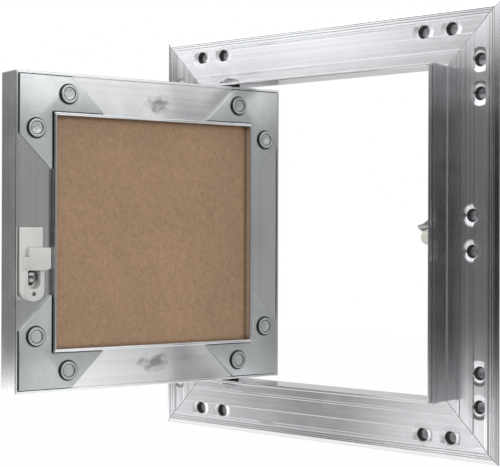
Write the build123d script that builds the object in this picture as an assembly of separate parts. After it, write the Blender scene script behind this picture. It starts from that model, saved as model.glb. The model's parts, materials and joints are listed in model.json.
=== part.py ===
from build123d import *
from math import asin, atan2, cos, degrees, radians, sin, sqrt
import os

# Access panel for a drywall opening. All lengths in millimetres, all angles in degrees.
# X runs along the wall to the right, Y runs into the wall, Z is up.
# The origin is the middle of the opening, on the face of the flange that lies behind the board.

# Frame rails
opening = 150.0            # outside of the return walls, the size of the cut-out it lines
flange_width = 26.0        # from the return wall's outer face to the rail's outer edge
flange_sheet = 1.5         # thickness of the flange
return_wall = 1.2          # thickness of the return wall round the opening
return_front = 14.0        # how far the return wall stands in front of the flange
return_back = 2.5          # how far the return wall reaches behind the flange's face
mitre_gap = 0.06           # hairline between two mitred rails

# Relief on the frame rail's face
bevel_width = 1.9          # sloping outer margin
bevel_drop = 0.9
line_places = (2.3, 3.2, 4.4)   # fine lines, from the outer edge
line_width = 0.35
line_depth = 0.2
rib_place = 5.3            # low rib outside the sunken band
rib_width = 0.9
rib_height = 0.25
band_start = 6.4           # sunken band that takes the clinch points
band_width = 6.2
band_depth = 0.35
key_rib_place = 19.2       # low rib near the return wall
key_rib_width = 1.3

# Relief on the return wall's outer face, measured back from its front edge
lip_groove_start = 0.8
lip_groove_width = 1.6
lip_groove_depth = 0.25
lip_bead_width = 0.8
lip_bead_height = 0.4
thick_zone = 7.0
thick_zone_rise = 0.18

# Leaf
leaf_gap = 1.1             # all round, between leaf and return wall
leaf_depth = 15.0          # from the leaf's front edge to the top of its outer rim
leaf_wall = 1.2            # thickness of the leaf rail's side wall and rim
rim_height = 0.5           # rim above the web
web_sheet = 1.2
web_width = 18.1           # from the leaf's edge to the inner lip
lip_wall = 1.4             # thickness of the inner lip
lip_height = 3.0           # inner lip above the web
edge_break = 0.25          # small chamfer on the lip's and rims' edges
board_thickness = 12.5
board_gap = 0.3
paper_thickness = 0.35

# Corner plates
plate_sheet = 1.5
plate_edge_gap = 0.4       # to the leaf's rim
plate_lip_gap = 0.5        # to the leaf's inner lip
leaf_plate_reach = 28.1    # outer leg edge, from the leaf's corner
frame_plate_inset = 3.0
frame_plate_width = 17.5
frame_plate_reach = 40.0

# Clinch points
clinch_pit_radius = 2.9
clinch_step = 0.4          # the pit narrows by this where it passes from sheet to plate
clinch_pit_taper = 0.2
clinch_dish_reach = 2.4    # soft hollow that the punch draws in the face round the pit
clinch_dish_depth = 0.4
clinch_wall = 0.5          # sheet left round the pit after forming
clinch_floor = 0.45
clinch_stand = 1.4         # button above the plate
clinch_button_wall = 0.9
clinch_dimple_depth = 0.3
clinch_edge = 0.3
frame_clinch_first = 24.5  # from the rail's end
frame_clinch_pitch = 14.9
frame_clinch_line = 9.6    # from the rail's outer edge
leaf_clinch_along = 25.7   # from the leaf's corner
leaf_clinch_line = 9.5     # from the leaf's edge
latch_clinch_line = 13.4
latch_clinch_pitch = 15.9

# Pivots
pivot_inset = 23.9         # from the leaf's hinge edge to the pivot axis
swing_clearance = 0.25     # leaf's front corner to the return wall as it turns
pivot_radius = 2.4
pivot_head_radius = 5.35
pivot_head_height = 3.4
pivot_head_rim = 0.8       # upright edge of the head below its dome
pivot_seat_gap = 0.3       # flat seat round the head, cut in the wall's relief
pivot_reach = 5.2          # pin inside the leaf's rail
running_gap = 0.05         # radial, on every turning or sliding fit
washer_radius = 4.6
washer_end_gap = 0.1
bush_wall = 1.5
bush_flange = 0.8
bush_flange_radius = 5.0
open_angle = 104.0         # how far the leaf stands open at rest

# Strike on the leaf
strike_edge = 1.5          # from the leaf's free edge
strike_top = 2.2           # above the middle of the panel
strike_height = 33.1
body_width = 9.9           # tall lower part with the screw's slot
body_height = 6.5          # above the web
pad_height = 9.2           # upper part that the nose presses
pad_width = 10.6
pad_sheet = 3.3            # above the web
flag_length = 10.1         # along Z
flag_width = 9.8
flag_sheet = 2.7
flag_space = 1.5           # room under the flag for the hook, above the pad's face
flag_overhang = 2.1        # flag's free end beyond the pad
flag_cut = 0.95            # sloping lower end of the overhang
flag_round = 0.4
ramp_start = 4.1           # from the flag's upper edge to the ramp beside it
slot_width = 6.1
slot_length = 10.6
strike_screw_place = 5.4   # screw's axis above the slot's lower end
slot_end = 5.3             # from the strike's lower end to the slot
slot_floor = 2.4
shank_slot = 2.9
peg_hole_radius = 1.0
peg_hole_depth = 2.0
peg_hole_place = 3.2       # from the strike's lower end
screw_radius = 1.25
screw_head_radius = 2.5
screw_head_height = 1.7
screw_reach = 4.0
strike_screw_reach = 6.0

# Latch
press_travel = 1.3         # how far the strike goes in past flush when the leaf is pressed
hook_sheet = 0.8
hook_side_gap = 2.4        # hook's plane to the flag's free end
hook_grip = 1.7            # how far the hook's tab reaches under the flag
hook_tab = 0.7             # tab thickness
hook_tab_width = 1.6
hook_tab_slope = 2.2       # sloping corner where the tab leaves the arm
hook_tab_play = 0.3        # tab to the flag's underside
hook_entry = 1.2           # closed tab below the flag's upper edge
hook_drop = 12.1           # tab's travel down
hook_pivot_back = 14.95    # pivot behind the tab
hook_pivot_rise = 4.46     # pivot above the closed tab
hook_boss_radius = 3.2
hook_pin_radius = 1.1
hook_pin_seat = 1.6        # how far the pin goes into the housing's wall
hook_pin_head = 0.6
hook_pin_head_radius = 2.0

# Outline of the hook's arm, in its open position
hook_tip = 0.1             # arm's end behind the tab's middle
hook_tip_height = 1.2
hook_shoulder_back = 4.1   # where the upper edge starts to climb
hook_shoulder_rise = 1.4
hook_crest_back = 8.4      # where the climb ends in the spring lug
hook_crest_rise = 3.4
hook_crest_length = 3.4
hook_throat_back = 12.8    # behind the spring lug
hook_throat_rise = 0.9
hook_belly_back = 5.2      # where the lower edge leaves the tip
hook_belly_drop = 3.0
hook_chin_back = 1.3
hook_chin_drop = 1.5
hook_round = 0.5
hook_hole_back = 7.6       # hole for the spring, from the tab's middle
hook_hole_rise = 0.1
hook_hole_radius = 0.9

# Nose, plunger and housing
nose_radius = 3.6
nose_length = 7.0
nose_round = 2.2
nose_gap = 0.25            # nose to the hook's plane
nose_height = -1.7         # nose axis, from the middle of the panel
nose_clear = 0.2           # nose to the strike's pad when the leaf is pressed
plunger_travel = 3.0
plunger_stem_radius = 2.25
plunger_collar = 1.2
plunger_tail_radius = 1.6
plunger_tail = 6.5
housing_wall = 1.8
housing_side = 1.15        # wall beside the spring chamber
housing_depth = 20.0
housing_height = 22.0
housing_drop = 11.3        # housing's lower face below the nose axis
chamber_gap = 0.12
housing_round = 1.0
spring_wire = 0.5
spring_turns = 5.0
bracket_sheet = 1.5
bracket_length = 27.0
bracket_flange = 17.5
bracket_bend = 1.5
bracket_wall_gap = 0.2

# Places worked out from the sizes above
frame_half = opening / 2 + flange_width
wall_out = opening / 2
wall_in = wall_out - return_wall
leaf_half = wall_in - leaf_gap
leaf_front = -return_front
rim_top = leaf_front + leaf_depth
web_back = rim_top - rim_height
web_face = web_back - web_sheet
lip_top = web_back + lip_height
board_half = leaf_half - leaf_wall - board_gap
board_back = web_face
board_front = board_back - board_thickness
plate_back = web_back + plate_sheet
pivot_x = -leaf_half + pivot_inset
pivot_front = sqrt((pivot_inset + leaf_gap - swing_clearance) ** 2 - pivot_inset ** 2)
pivot_y = leaf_front + pivot_front
pivot_axis = Axis((pivot_x, pivot_y, 0), (0, 0, 1))
pivot_bore = pivot_radius + running_gap

strike_out = leaf_half - strike_edge
body_in = strike_out - body_width
strike_mid = (strike_out + body_in) / 2
strike_foot = strike_top - strike_height
body_face = web_back + body_height
pad_in = strike_out - pad_width
pad_face = web_back + pad_sheet
flag_top = strike_top - pad_height
flag_foot = flag_top - flag_length
flag_in = pad_in - flag_overhang
flag_out = flag_in + flag_width
flag_under = pad_face + flag_space
flag_face = flag_under + flag_sheet
strike_screw_z = strike_foot + slot_end + strike_screw_place

hook_right = flag_in - hook_side_gap
hook_left = hook_right - hook_sheet
tab_y = flag_under - hook_tab_play - hook_tab / 2
tab_z = flag_top - hook_tab_width / 2 - hook_entry
hook_y = tab_y + hook_pivot_back
hook_z = tab_z + hook_pivot_rise
hook_arm = sqrt(hook_pivot_back ** 2 + hook_pivot_rise ** 2)
hook_closed_tilt = degrees(asin(hook_pivot_rise / hook_arm))
hook_open_tilt = degrees(asin((hook_drop - hook_pivot_rise) / hook_arm))
hook_turn = hook_closed_tilt + hook_open_tilt

nose_x = hook_right + nose_gap + nose_radius
nose_front = pad_face + press_travel + nose_clear
nose_back = nose_front + nose_length
chamber_radius = plunger_stem_radius + 2 * chamber_gap + running_gap
housing_left = nose_x - chamber_radius - housing_side
housing_front = nose_back + plunger_travel + nose_clear
housing_back = housing_front + housing_depth
housing_foot = nose_height - housing_drop
housing_right = wall_out + bracket_wall_gap
chamber_front = housing_front + housing_wall
chamber_back = housing_back - housing_wall
collar_front = chamber_front + running_gap
bracket_face = flange_sheet
latch_clinch_x = frame_half - latch_clinch_line

clinch_cup_radius = clinch_pit_radius + clinch_wall
clinch_button_radius = clinch_cup_radius + clinch_button_wall
clinch_cup_end = plate_sheet + clinch_stand - clinch_button_wall / 2 - clinch_dimple_depth
clinch_button_end = plate_sheet + clinch_stand


def plate_from(points, low, high):
    """A flat piece parallel to the wall: its outline as X, Z points, between two depths."""
    outline = [(x, low, z) for x, z in points]
    return extrude(make_face(Polyline(*outline, close=True)), amount=high - low, dir=(0, 1, 0))


def slab(x, y, z):
    """A block given by its low and high limit along each axis."""
    size = (x[1] - x[0], y[1] - y[0], z[1] - z[0])
    middle = ((x[0] + x[1]) / 2, (y[0] + y[1]) / 2, (z[0] + z[1]) / 2)
    return Pos(*middle) * Box(*size)


def turned(points):
    """A solid of revolution about the Y axis, from radius, depth points."""
    outline = [(radius, depth, 0) for radius, depth in points]
    return revolve(make_face(Polyline(*outline, close=True)), Axis.Y, 360)


def rod(x, y, z, radius, axis):
    """A round rod along one axis; that axis gets a pair of limits, the others a place."""
    limits = {"x": x, "y": y, "z": z}
    low, high = limits[axis]
    direction = {"x": (1, 0, 0), "y": (0, 1, 0), "z": (0, 0, 1)}[axis]
    start = {"x": (low, y, z), "y": (x, low, z), "z": (x, y, low)}[axis]
    plane = Plane(origin=start, z_dir=direction)
    return extrude(plane * Circle(radius), amount=high - low)


def groove(place, width, depth):
    """Points of a narrow notch in a face, or of a rib where the depth is negative."""
    half = width / 2
    slope = min(abs(depth), half / 2)
    return [
        (place - half, 0),
        (place - half + slope, depth),
        (place + half - slope, depth),
        (place + half, 0),
    ]


def frame_rail_outline():
    """Section of a frame rail: distance from the outer edge, and depth."""
    points = [(0, flange_sheet), (0, bevel_drop), (bevel_width, 0)]
    for place in line_places:
        points += groove(place, line_width, line_depth)
    points += groove(rib_place, rib_width, -rib_height)
    points += groove(band_start + band_width / 2, band_width, band_depth)
    points += groove(key_rib_place + key_rib_width / 2, key_rib_width, -rib_height)
    foot = 2 * edge_break
    points += [(flange_width - foot, 0), (flange_width, -foot)]
    front = -return_front
    zone = front + thick_zone
    bead = front + lip_groove_start + lip_groove_width
    bead_end = bead + lip_bead_width
    raised = flange_width - thick_zone_rise
    points += [(flange_width, zone), (raised, zone - thick_zone_rise), (raised, bead_end)]
    points += [(flange_width - lip_bead_height, bead_end), (flange_width - lip_bead_height, bead)]
    points += [(flange_width + lip_groove_depth, bead)]
    points += [(flange_width + lip_groove_depth, front + lip_groove_start)]
    points += [(flange_width, front + lip_groove_start - lip_groove_depth)]
    points += [(flange_width, front + edge_break), (flange_width + edge_break, front)]
    inner = flange_width + return_wall
    points += [(inner - edge_break, front), (inner, front + edge_break)]
    points += [(inner, return_back), (flange_width, return_back), (flange_width, flange_sheet)]
    return points


def leaf_rail_outline():
    """Section of a leaf rail: distance from the leaf's edge, and depth."""
    lip_end = web_width + lip_wall
    return [
        (edge_break, leaf_front),
        (0, leaf_front + edge_break),
        (0, rim_top - edge_break),
        (edge_break, rim_top),
        (leaf_wall - edge_break / 2, rim_top),
        (leaf_wall, rim_top - edge_break / 2),
        (leaf_wall, web_back),
        (web_width, web_back),
        (web_width, lip_top - edge_break),
        (web_width + edge_break, lip_top),
        (lip_end - edge_break, lip_top),
        (lip_end, lip_top - edge_break),
        (lip_end, web_face),
        (leaf_wall, web_face),
        (leaf_wall, leaf_front),
    ]


def mitred_rail(outline, half, depth):
    """A bottom rail of a square frame, cut at both ends along the diagonals."""
    section = [(-half, place[1], place[0] - half) for place in outline]
    bar = extrude(make_face(Polyline(*section, close=True)), amount=2 * half, dir=(1, 0, 0))
    cut = mitre_gap * sqrt(2) / 2
    corners = [(cut - half, -half), (half - cut, -half), (half - cut - depth, depth - half)]
    corners.append((cut + depth - half, depth - half))
    return bar & plate_from(corners, -2 * return_front, 2 * return_front)


def quarter_turn(piece, quarters):
    """Turn a piece about the middle of the panel: 0 bottom, 1 hinge side, 2 top, 3 latch side."""
    return Rot(0, 90 * quarters, 0) * piece


def clinch_cup():
    """The flange or web metal that the punch pushed through the plate, from the joint plane on."""
    return turned([
        (0, -edge_break),
        (clinch_cup_radius, -edge_break),
        (clinch_cup_radius, clinch_cup_end),
        (0, clinch_cup_end),
    ])


def clinch_pit(sheet, skin):
    """The round pit that the punch leaves: its mouth, through the skin beside a band, down to the floor."""
    floor = clinch_cup_end - clinch_floor
    mouth = clinch_pit_radius + clinch_edge
    narrow = clinch_pit_radius - clinch_step
    foot = clinch_dish_depth - sheet
    return turned([
        (0, -sheet - skin),
        (mouth, -sheet - skin),
        (mouth, foot),
        (clinch_pit_radius, foot + clinch_edge),
        (clinch_pit_radius, 0),
        (narrow, clinch_step),
        (narrow - clinch_pit_taper, floor),
        (0, floor),
    ])


def clinch_dish(sheet):
    """The soft hollow round a pit's mouth, level with the sheet's face at its outer edge."""
    mouth = clinch_pit_radius + clinch_edge
    rim = mouth + clinch_dish_reach
    bend = (clinch_dish_reach ** 2 + clinch_dish_depth ** 2) / (2 * clinch_dish_depth)
    half_sweep = asin(clinch_dish_reach / bend) / 2
    middle = (rim - bend * sin(half_sweep), bend * (1 - cos(half_sweep)) - sheet, 0)
    foot = clinch_dish_depth - sheet
    slope = ThreePointArc((rim, -sheet, 0), middle, (mouth, foot, 0))
    rest = Polyline((mouth, foot, 0), (0, foot, 0), (0, -sheet, 0), (rim, -sheet, 0))
    return revolve(make_face([slope, rest]), Axis.Y, 360)


def clinch_button():
    """The raised button on the plate, with its ring and shallow middle, and room for the cup."""
    ring = clinch_button_radius - clinch_button_wall - clinch_edge
    body = turned([
        (0, 0),
        (clinch_button_radius, 0),
        (clinch_button_radius, clinch_button_end - clinch_edge),
        (clinch_button_radius - clinch_edge, clinch_button_end),
        (ring, clinch_button_end),
        (ring - clinch_edge, clinch_button_end - clinch_dimple_depth),
        (0, clinch_button_end - clinch_dimple_depth),
    ])
    return body - clinch_cup()


def clinch_sheet(rail, sheet, joint, places, skin=0.0, floor_width=0.0):
    """Form the cups of a rail at the given X, Z places; in a band, the hollow keeps to the band's floor."""
    dish = clinch_dish(sheet)
    if floor_width:
        reach = clinch_pit_radius + clinch_edge + clinch_dish_reach
        dish = dish & slab((-reach, reach), (-sheet, 0), (-floor_width / 2, floor_width / 2))
    for x, z in places:
        place = Pos(x, joint, z)
        rail = rail + place * clinch_cup() - place * clinch_pit(sheet, skin) - place * dish
    return rail


def clinch_plate(plate, joint, places):
    """Form the buttons of a plate at the given X, Z places."""
    for x, z in places:
        hole = rod(x, (joint - plate_sheet, joint + plate_sheet), z, clinch_button_radius, "y")
        plate = plate - hole + Pos(x, joint, z) * clinch_button()
    return plate


def frame_clinch_places():
    """Clinch places of the bottom rail."""
    z = frame_clinch_line - frame_half
    first = frame_half - frame_clinch_first
    second = first - frame_clinch_pitch
    return [(x, z) for x in (-first, -second, second, first)]


def frame_rail():
    """Bottom rail of the frame with its clinch cups."""
    rail = mitred_rail(frame_rail_outline(), frame_half, flange_width + return_wall)
    band_floor = band_width - 2 * band_depth
    return clinch_sheet(rail, flange_sheet - band_depth, flange_sheet, frame_clinch_places(), band_depth, band_floor)


def leaf_rail():
    """Bottom rail of the leaf with its clinch cups."""
    rail = mitred_rail(leaf_rail_outline(), leaf_half, web_width + lip_wall)
    along = leaf_half - leaf_clinch_along
    z = leaf_clinch_line - leaf_half
    return clinch_sheet(rail, web_sheet, web_back, [(-along, z), (along, z)])


def corner_plate(half, inset, width, reach, joint, places):
    """An L plate for the lower hinge-side corner, with its legs cut at 45 degrees."""
    low = inset - half
    tip = reach + width - half
    far = reach - half
    inner = inset + width - half
    points = [(low, low), (far, low), (tip, inner), (inner, inner), (inner, tip), (low, far)]
    return clinch_plate(plate_from(points, joint, joint + plate_sheet), joint, places)


def frame_corner_plate():
    """Plate behind the frame's lower hinge-side corner."""
    line = frame_clinch_line - frame_half
    first = frame_clinch_first - frame_half
    second = first + frame_clinch_pitch
    places = [(first, line), (second, line), (line, first), (line, second)]
    return corner_plate(frame_half, frame_plate_inset, frame_plate_width, frame_plate_reach,
                        flange_sheet, places)


def leaf_corner_plate():
    """Plate on the leaf's lower hinge-side corner."""
    inset = leaf_wall + plate_edge_gap
    width = web_width - plate_lip_gap - inset
    line = leaf_clinch_line - leaf_half
    along = leaf_clinch_along - leaf_half
    return corner_plate(leaf_half, inset, width, leaf_plate_reach, web_back, [(along, line), (line, along)])


def pivot_pin():
    """Top pivot: a domed head outside the return wall and a pin down into the leaf."""
    head_foot = wall_out
    crown = pivot_head_height
    rise = crown - pivot_head_rim
    dome = (pivot_head_radius ** 2 + rise ** 2) / (2 * rise)
    ball = Pos(0, 0, head_foot + crown - dome) * Sphere(dome)
    cap = rod(0, 0, (head_foot, head_foot + crown), pivot_head_radius, "z") & ball
    shank = rod(0, 0, (leaf_half - leaf_wall - pivot_reach, head_foot), pivot_radius, "z")
    return Pos(pivot_x, pivot_y, 0) * (cap + shank)


def pivot_washer():
    """Spacer between the top return wall and the leaf."""
    low = leaf_half + washer_end_gap
    high = wall_in - washer_end_gap
    ring = rod(0, 0, (low, high), washer_radius, "z") - rod(0, 0, (low, high), pivot_bore, "z")
    return Pos(pivot_x, pivot_y, 0) * ring


def pivot_bush():
    """Flanged bush inside the leaf's top rail."""
    top = leaf_half - leaf_wall
    low = top - pivot_reach - bush_flange
    body = rod(0, 0, (low, top), pivot_bore + bush_wall, "z")
    body += rod(0, 0, (top - bush_flange, top), bush_flange_radius, "z")
    body -= rod(0, 0, (low, top), pivot_bore, "z")
    return Pos(pivot_x, pivot_y, 0) * body


def mirrored(piece):
    """The same piece at the other end of the pivot axis."""
    return piece.mirror(Plane.XY)


def pivot_holes(low, high, radius):
    """Bores for the pivots through two opposite rails, between two distances from the middle."""
    top = Pos(pivot_x, pivot_y, 0) * rod(0, 0, (low, high), radius, "z")
    return top + mirrored(top)


def board_layer(low, high):
    """One layer of the plasterboard."""
    limits = (-board_half, board_half)
    return slab(limits, (low, high), limits)


def board_core():
    """The gypsum core, with a pocket at each pivot bush."""
    core = board_layer(board_front + paper_thickness, board_back - paper_thickness)
    deep = leaf_half - leaf_wall - pivot_reach - bush_flange - board_gap
    pocket = Pos(pivot_x, pivot_y, 0) * rod(0, 0, (deep, leaf_half), bush_flange_radius + board_gap, "z")
    pocket = pocket & board_layer(board_front + paper_thickness, board_back - paper_thickness)
    return core - pocket - mirrored(pocket) - strike_screw_hole()


def board_paper(low, high):
    """One paper face of the plasterboard, pierced by the strike's screw where it reaches that far."""
    return board_layer(low, high) - strike_screw_hole()


def upright_slot(x, low, high, half, depths):
    """A slot-shaped block standing along Z: round ends, between two depths."""
    near, far = depths
    left, right = x - half, x + half
    outline = [
        Line((left, near, low + half), (left, near, high - half)),
        ThreePointArc((left, near, high - half), (x, near, high), (right, near, high - half)),
        Line((right, near, high - half), (right, near, low + half)),
        ThreePointArc((right, near, low + half), (x, near, low), (left, near, low + half)),
    ]
    return extrude(make_face(outline), amount=far - near, dir=(0, 1, 0))


def strike_body():
    """Tall lower part of the strike: round lower end, slot with its ledge for the screw, small peg hole."""
    radius = body_width / 2
    bend = strike_foot + radius
    sides = Polyline((body_in, web_back, bend), (body_in, web_back, flag_foot),
                     (strike_out, web_back, flag_foot), (strike_out, web_back, bend))
    end = ThreePointArc((strike_out, web_back, bend), (strike_mid, web_back, strike_foot), (body_in, web_back, bend))
    body = extrude(make_face([sides, end]), amount=body_height, dir=(0, 1, 0))
    slot_low = strike_foot + slot_end
    slot_high = slot_low + slot_length
    floor = web_back + slot_floor
    body -= upright_slot(strike_mid, slot_low, slot_high, slot_width / 2, (floor, body_face))
    spare = (slot_width - shank_slot) / 2
    body -= upright_slot(strike_mid, slot_low + spare, slot_high - spare, shank_slot / 2, (web_back, floor))
    peg_z = strike_foot + peg_hole_place
    return body - rod(strike_mid, (body_face - peg_hole_depth, body_face), peg_z, peg_hole_radius, "y")


def strike():
    """White catch on the leaf's free edge: tall body, pad for the nose, and the flag that the hook holds."""
    pad = slab((pad_in, strike_out), (web_back, pad_face), (flag_foot, strike_top))
    stem = slab((pad_in, flag_out), (pad_face, flag_under), (flag_foot, flag_top))
    corners = [
        (flag_in, flag_top),
        (flag_out, flag_top),
        (flag_out, flag_foot),
        (pad_in, flag_foot),
        (flag_in, flag_foot + flag_cut),
    ]
    flag = plate_from(corners, flag_under, flag_face)
    flag = fillet(flag.edges().filter_by(Axis.Y).group_by(Axis.X)[0], flag_round)
    section = [(strike_out, pad_face), (flag_out, flag_face), (flag_out, pad_face)]
    slope = make_face(Polyline(*[(x, y, flag_foot) for x, y in section], close=True))
    ramp = extrude(slope, amount=flag_length - ramp_start, dir=(0, 0, 1))
    return strike_body() + pad + stem + flag + ramp


def pan_screw(reach):
    """A pan-head screw along Y: the head's underside is at 0 and the shank points to the front."""
    head = turned([
        (0, 0),
        (screw_head_radius, 0),
        (screw_head_radius, screw_head_height / 2),
        (screw_head_radius - clinch_edge, screw_head_height),
        (0, screw_head_height),
    ])
    return head + rod(0, (-reach, 0), 0, screw_radius, "y")


def strike_screw_hole():
    """The hole that the strike's screw makes in the web and the board."""
    tip = web_back + slot_floor - strike_screw_reach
    return rod(strike_mid, (tip, web_back), strike_screw_z, screw_radius, "y")


def strike_screw():
    """The screw in the strike's slot."""
    return Pos(strike_mid, web_back + slot_floor, strike_screw_z) * pan_screw(strike_screw_reach)


def latch_bracket():
    """Bent plate clinched behind the latch-side rail, with the leg that carries the housing."""
    high = bracket_length / 2
    left = housing_right
    right = left + bracket_sheet + bracket_flange
    outline = [
        (left, bracket_face),
        (right, bracket_face),
        (right, bracket_face + bracket_sheet),
        (left + bracket_sheet, bracket_face + bracket_sheet),
        (left + bracket_sheet, housing_back),
        (left, housing_back),
    ]
    section = [(x, y, -high) for x, y in outline]
    body = extrude(make_face(Polyline(*section, close=True)), amount=2 * high, dir=(0, 0, 1))
    bend = body.edges().filter_by(Axis.Z).sort_by_distance((left, bracket_face, 0))[0]
    body = fillet(bend, bracket_bend)
    half = latch_clinch_pitch / 2
    places = [(latch_clinch_x, -half), (latch_clinch_x, half)]
    body = clinch_plate(body, flange_sheet, places)
    for y, z in housing_screw_places():
        body -= rod((left, left + bracket_sheet), y, z, screw_radius, "x")
    return body


def housing_screw_places():
    """Depth and height of the two screws that hold the housing."""
    margin = screw_head_radius + housing_wall
    front = housing_front + margin
    back = housing_back - margin
    low = housing_foot + margin
    high = housing_foot + housing_height - margin
    return [(front, high), (back, low)]


def housing_screws():
    """Two screws through the bracket into the housing."""
    group = []
    for y, z in housing_screw_places():
        group.append(Pos(housing_right + bracket_sheet, y, z) * Rot(0, 0, -90) * pan_screw(screw_reach))
    return Compound(children=group)


def latch_housing():
    """Moulded housing: spring chamber, stem bore, and the seat of the hook's pin."""
    body = slab((housing_left, housing_right), (housing_front, housing_back),
                (housing_foot, housing_foot + housing_height))
    body = fillet(body.edges().filter_by(Axis.Y), housing_round)
    body -= rod(nose_x, (chamber_front, chamber_back), nose_height, chamber_radius, "y")
    body -= rod(nose_x, (housing_front, chamber_front), nose_height, plunger_stem_radius + running_gap, "y")
    body -= hook_pin_shank()
    for y, z in housing_screw_places():
        body -= rod((housing_right + bracket_sheet - screw_reach, housing_right), y, z, screw_radius, "x")
    return body - housing_hollow()


def housing_hollow():
    """The moulded hollow between the spring chamber and the bracket, clear of both screws."""
    left = nose_x + chamber_radius + housing_wall
    screws = screw_head_radius + 2 * housing_wall
    low = housing_foot + screws + housing_wall
    high = housing_foot + housing_height - screws - housing_wall
    return slab((left, housing_right - housing_wall), (chamber_front, chamber_back), (low, high))


def hook_pin_shank():
    """The hook's pin, from the hook's far side into the housing's wall."""
    return rod((hook_left - 2 * running_gap, housing_left + hook_pin_seat), hook_y, hook_z, hook_pin_radius, "x")


def hook_pin():
    """Pin with a flat head that keeps the hook on."""
    head_high = hook_left - 2 * running_gap
    return hook_pin_shank() + rod((head_high - hook_pin_head, head_high), hook_y, hook_z, hook_pin_head_radius, "x")


def latch_plunger():
    """Ivory nose with its stem, stop collar and spring tail."""
    body = rod(nose_x, (nose_front, nose_back), nose_height, nose_radius, "y")
    body = fillet(body.edges().sort_by(Axis.Y)[0], nose_round)
    collar_back = collar_front + plunger_collar
    body += rod(nose_x, (nose_back, collar_back), nose_height, plunger_stem_radius, "y")
    body += rod(nose_x, (collar_front, collar_back), nose_height, chamber_radius - running_gap, "y")
    body += rod(nose_x, (collar_back, collar_back + plunger_tail), nose_height, plunger_tail_radius, "y")
    return body


def latch_spring():
    """Compression spring between the plunger's collar and the back of its chamber."""
    start = collar_front + plunger_collar + spring_wire / 2 + running_gap
    length = chamber_back - start - spring_wire / 2 - running_gap
    coil = chamber_radius - running_gap - spring_wire / 2 - chamber_gap
    path = Helix(pitch=length / spring_turns, height=length, radius=coil)
    profile = Plane(origin=path @ 0, z_dir=path % 0) * Circle(spring_wire / 2)
    wire = sweep(profile, path=path, is_frenet=True)
    return Pos(nose_x, start, nose_height) * Rot(-90, 0, 0) * wire


def latch_hook():
    """Steel arm beside the nose: boss on its pin, spring lug, and the tab that goes under the flag."""
    tip_y = hook_y - hook_arm * cos(radians(hook_open_tilt))
    tip_z = hook_z + hook_drop - hook_pivot_rise

    def at(back, rise):
        """A point of the open arm's outline, from the middle of its tab."""
        return (hook_left, tip_y + back, tip_z + rise)

    crest_end = hook_crest_back + hook_crest_length
    outline = Polyline(
        at(hook_tip, -hook_tip_height / 2),
        at(hook_tip, hook_tip_height / 2),
        at(hook_shoulder_back, hook_shoulder_rise),
        at(hook_crest_back, hook_crest_rise),
        at(crest_end, hook_crest_rise),
        at(hook_throat_back, hook_throat_rise),
        (hook_left, hook_y + hook_boss_radius / 2, hook_z),
        (hook_left, hook_y, hook_z - hook_boss_radius / 2),
        at(hook_belly_back, -hook_belly_drop),
        at(hook_chin_back, -hook_chin_drop),
        close=True,
    )
    arm = extrude(make_face(outline), amount=hook_sheet, dir=(1, 0, 0))
    arm = fillet(arm.edges().filter_by(Axis.X), hook_round)
    arm += rod((hook_left, hook_right), hook_y, hook_z, hook_boss_radius, "x")
    arm -= rod((hook_left, hook_right), hook_y, hook_z, hook_pin_radius + running_gap, "x")
    hole_y = tip_y + hook_hole_back
    arm -= rod((hook_left, hook_right), hole_y, tip_z + hook_hole_rise, hook_hole_radius, "x")
    half = hook_tab_width / 2
    tab_end = flag_in + hook_grip
    tab_points = [
        (hook_left, half),
        (tab_end, half),
        (tab_end, -half),
        (hook_left + hook_tab_slope, -half),
        (hook_left, 0),
    ]
    tab = plate_from(tab_points, -hook_tab / 2, hook_tab / 2)
    return arm + Pos(0, tip_y, tip_z) * (Rot(-hook_turn, 0, 0) * tab)


def leaf_open(piece):
    """Swing a piece of the leaf from closed to its resting, open place."""
    return piece.rotate(pivot_axis, -open_angle)


os.makedirs("parts", exist_ok=True)


def save(name, piece):
    """Write one piece to its own file."""
    export_step(piece, "parts/" + name + ".step")


side_names = ("bottom_rail", "hinge_stile", "top_rail", "latch_stile")
corner_names = ("bottom_hinge", "top_hinge", "top_latch", "bottom_latch")

plain_frame_rail = frame_rail()
plain_leaf_rail = leaf_rail()
plain_frame_plate = frame_corner_plate()
plain_leaf_plate = leaf_corner_plate()
frame_pivot_holes = pivot_holes(wall_in, wall_out, pivot_radius)
seat_radius = pivot_head_radius + pivot_seat_gap
frame_pivot_holes += pivot_holes(wall_out, wall_out + pivot_head_height, seat_radius)
leaf_pivot_holes = pivot_holes(leaf_half - leaf_wall, leaf_half, pivot_bore)
latch_places = [(latch_clinch_x, -latch_clinch_pitch / 2), (latch_clinch_x, latch_clinch_pitch / 2)]

for turn, side in enumerate(side_names):
    frame_side = quarter_turn(plain_frame_rail, turn)
    leaf_side = quarter_turn(plain_leaf_rail, turn)
    if side in ("bottom_rail", "top_rail"):
        frame_side -= frame_pivot_holes
        leaf_side -= leaf_pivot_holes
    if side == "latch_stile":
        frame_side = clinch_sheet(frame_side, flange_sheet, flange_sheet, latch_places)
        leaf_side -= strike_screw_hole()
    save("frame_" + side, frame_side)
    save("leaf_" + side, leaf_open(leaf_side))

for turn, corner in enumerate(corner_names):
    save("frame_corner_plate_" + corner, quarter_turn(plain_frame_plate, turn))
    save("leaf_corner_plate_" + corner, leaf_open(quarter_turn(plain_leaf_plate, turn)))

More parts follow.
